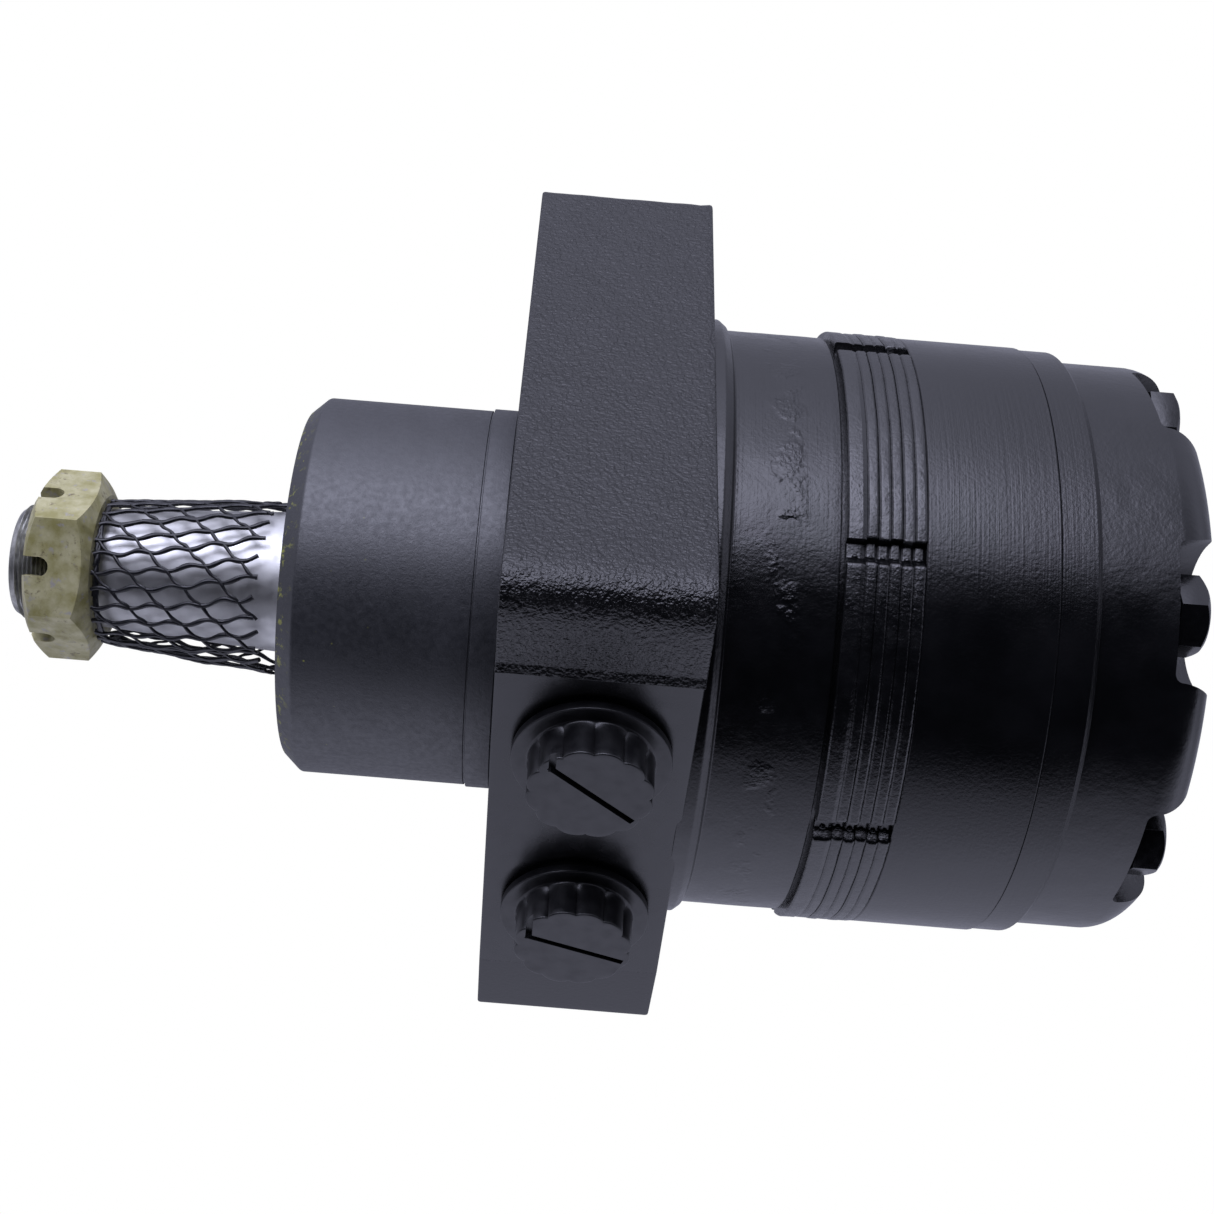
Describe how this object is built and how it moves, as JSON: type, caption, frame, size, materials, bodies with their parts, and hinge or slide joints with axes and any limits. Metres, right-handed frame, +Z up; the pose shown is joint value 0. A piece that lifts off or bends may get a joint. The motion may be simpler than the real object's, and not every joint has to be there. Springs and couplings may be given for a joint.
{
  "type": "hydraulic motor",
  "caption": "Low-speed orbital hydraulic motor: square flange block with side ports, round nose and pilot, laminated roller-rotor stack with a bolted end cover, tapered shaft and castle nut.",
  "frame": {"origin": "on the shaft axis at the flange's front mounting face", "axes": "-X out of the nose along the output shaft, +X towards the end cover, -Y out of the port face, +Z up"},
  "size_m": [0.2451, 0.1412, 0.1318],
  "materials": {
    "black_cast_paint": "semi-gloss black paint over a sand casting",
    "black_stack_paint": "semi-gloss black paint over turned steel",
    "black_bolt_paint": "black painted hex bolts",
    "shaft_steel": "turned and ground steel",
    "yellow_zinc": "yellow zinc plating, stained",
    "bearing_steel": "ground bearing steel",
    "seal_rubber": "black nitrile rubber",
    "plug_plastic": "black moulded plastic",
    "net_plastic": "black extruded plastic net"
  },
  "bodies": {
    "motor_body": {"housing": "black_cast_paint", "end_cover": "black_cast_paint", "manifold_end_plate": "black_stack_paint", "manifold_plates": "black_stack_paint", "rotor_ring": "black_stack_paint", "balance_plate": "black_stack_paint", "cover_bolts": "black_bolt_paint", "body_seals": "seal_rubber", "dust_seal": "seal_rubber", "seal_snap_ring": "bearing_steel", "seal_backup_washer": "bearing_steel", "shaft_seal": "seal_rubber", "front_bearing_race": "bearing_steel", "rear_bearing_race": "bearing_steel", "front_thrust_washer": "bearing_steel", "rear_thrust_washer": "bearing_steel", "port_plug_upper": "plug_plastic", "port_plug_lower": "plug_plastic", "port_plug_seals": "seal_rubber"},
    "output_shaft": {"output_shaft": "shaft_steel", "castle_nut": "yellow_zinc", "shaft_key": "shaft_steel", "netting_sleeve": "net_plastic", "front_thrust_runner": "bearing_steel", "rear_thrust_runner": "bearing_steel"},
    "front_bearing": {"front_bearing_cage": "bearing_steel", "front_bearing_rollers": "bearing_steel"},
    "rear_bearing": {"rear_bearing_cage": "bearing_steel", "rear_bearing_rollers": "bearing_steel"},
    "front_thrust_bearing": {"front_thrust_needles": "bearing_steel", "front_thrust_cage": "bearing_steel"},
    "rear_thrust_bearing": {"rear_thrust_needles": "bearing_steel", "rear_thrust_cage": "bearing_steel"},
    "drive_orbit": {"drive_spacer": "bearing_steel"},
    "rotor": {"rotor": "bearing_steel"},
    "drive_link": {"drive_link": "bearing_steel"},
    "roller_1": {"roller_1": "bearing_steel"},
    "roller_2": {"roller_2": "bearing_steel"},
    "roller_3": {"roller_3": "bearing_steel"},
    "roller_4": {"roller_4": "bearing_steel"},
    "roller_5": {"roller_5": "bearing_steel"},
    "roller_6": {"roller_6": "bearing_steel"},
    "roller_7": {"roller_7": "bearing_steel"}
  },
  "joints": [
    {"name": "shaft_spin", "type": "hinge", "parent": "motor_body", "child": "output_shaft", "pos_m": [0, 0, 0], "axis": [1, 0, 0], "continuous": true},
    {"name": "front_bearing_roll", "type": "hinge", "parent": "motor_body", "child": "front_bearing", "pos_m": [-0.018, 0, 0], "axis": [1, 0, 0], "continuous": true},
    {"name": "rear_bearing_roll", "type": "hinge", "parent": "motor_body", "child": "rear_bearing", "pos_m": [0.047, 0, 0], "axis": [1, 0, 0], "continuous": true},
    {"name": "front_thrust_roll", "type": "hinge", "parent": "motor_body", "child": "front_thrust_bearing", "pos_m": [-0.006, 0, 0], "axis": [1, 0, 0], "continuous": true},
    {"name": "rear_thrust_roll", "type": "hinge", "parent": "motor_body", "child": "rear_thrust_bearing", "pos_m": [0.061, 0, 0], "axis": [1, 0, 0], "continuous": true},
    {"name": "drive_orbit_turn", "type": "hinge", "parent": "motor_body", "child": "drive_orbit", "pos_m": [0.104, 0, 0], "axis": [1, 0, 0], "continuous": true},
    {"name": "rotor_turn", "type": "hinge", "parent": "drive_orbit", "child": "rotor", "pos_m": [0.0927, 0.0029, 0], "axis": [1, 0, 0], "continuous": true},
    {"name": "drive_link_turn", "type": "hinge", "parent": "drive_orbit", "child": "drive_link", "pos_m": [0.014, 0, 0], "axis": [0.9993, 0.0368, 0], "continuous": true},
    {"name": "roller_1_spin", "type": "hinge", "parent": "motor_body", "child": "roller_1", "pos_m": [0.0927, 0.036, 0], "axis": [1, 0, 0], "continuous": true},
    {"name": "roller_2_spin", "type": "hinge", "parent": "motor_body", "child": "roller_2", "pos_m": [0.0927, 0.02245, 0.02815], "axis": [1, 0, 0], "continuous": true},
    {"name": "roller_3_spin", "type": "hinge", "parent": "motor_body", "child": "roller_3", "pos_m": [0.0927, -0.00801, 0.0351], "axis": [1, 0, 0], "continuous": true},
    {"name": "roller_4_spin", "type": "hinge", "parent": "motor_body", "child": "roller_4", "pos_m": [0.0927, -0.03243, 0.01562], "axis": [1, 0, 0], "continuous": true},
    {"name": "roller_5_spin", "type": "hinge", "parent": "motor_body", "child": "roller_5", "pos_m": [0.0927, -0.03243, -0.01562], "axis": [1, 0, 0], "continuous": true},
    {"name": "roller_6_spin", "type": "hinge", "parent": "motor_body", "child": "roller_6", "pos_m": [0.0927, -0.00801, -0.0351], "axis": [1, 0, 0], "continuous": true},
    {"name": "roller_7_spin", "type": "hinge", "parent": "motor_body", "child": "roller_7", "pos_m": [0.0927, 0.02245, -0.02815], "axis": [1, 0, 0], "continuous": true}
  ],
  "couplings": [
    {"joint": "front_bearing_roll", "follows": "shaft_spin", "ratio": 0.44},
    {"joint": "rear_bearing_roll", "follows": "shaft_spin", "ratio": 0.45312},
    {"joint": "front_thrust_roll", "follows": "shaft_spin", "ratio": 0.5},
    {"joint": "rear_thrust_roll", "follows": "shaft_spin", "ratio": 0.5},
    {"joint": "drive_orbit_turn", "follows": "shaft_spin", "ratio": -6},
    {"joint": "rotor_turn", "follows": "shaft_spin", "ratio": 7},
    {"joint": "drive_link_turn", "follows": "shaft_spin", "ratio": 7},
    {"joint": "roller_1_spin", "follows": "shaft_spin", "ratio": -4.5},
    {"joint": "roller_2_spin", "follows": "shaft_spin", "ratio": -4.5},
    {"joint": "roller_3_spin", "follows": "shaft_spin", "ratio": -4.5},
    {"joint": "roller_4_spin", "follows": "shaft_spin", "ratio": -4.5},
    {"joint": "roller_5_spin", "follows": "shaft_spin", "ratio": -4.5},
    {"joint": "roller_6_spin", "follows": "shaft_spin", "ratio": -4.5},
    {"joint": "roller_7_spin", "follows": "shaft_spin", "ratio": -4.5}
  ]
}
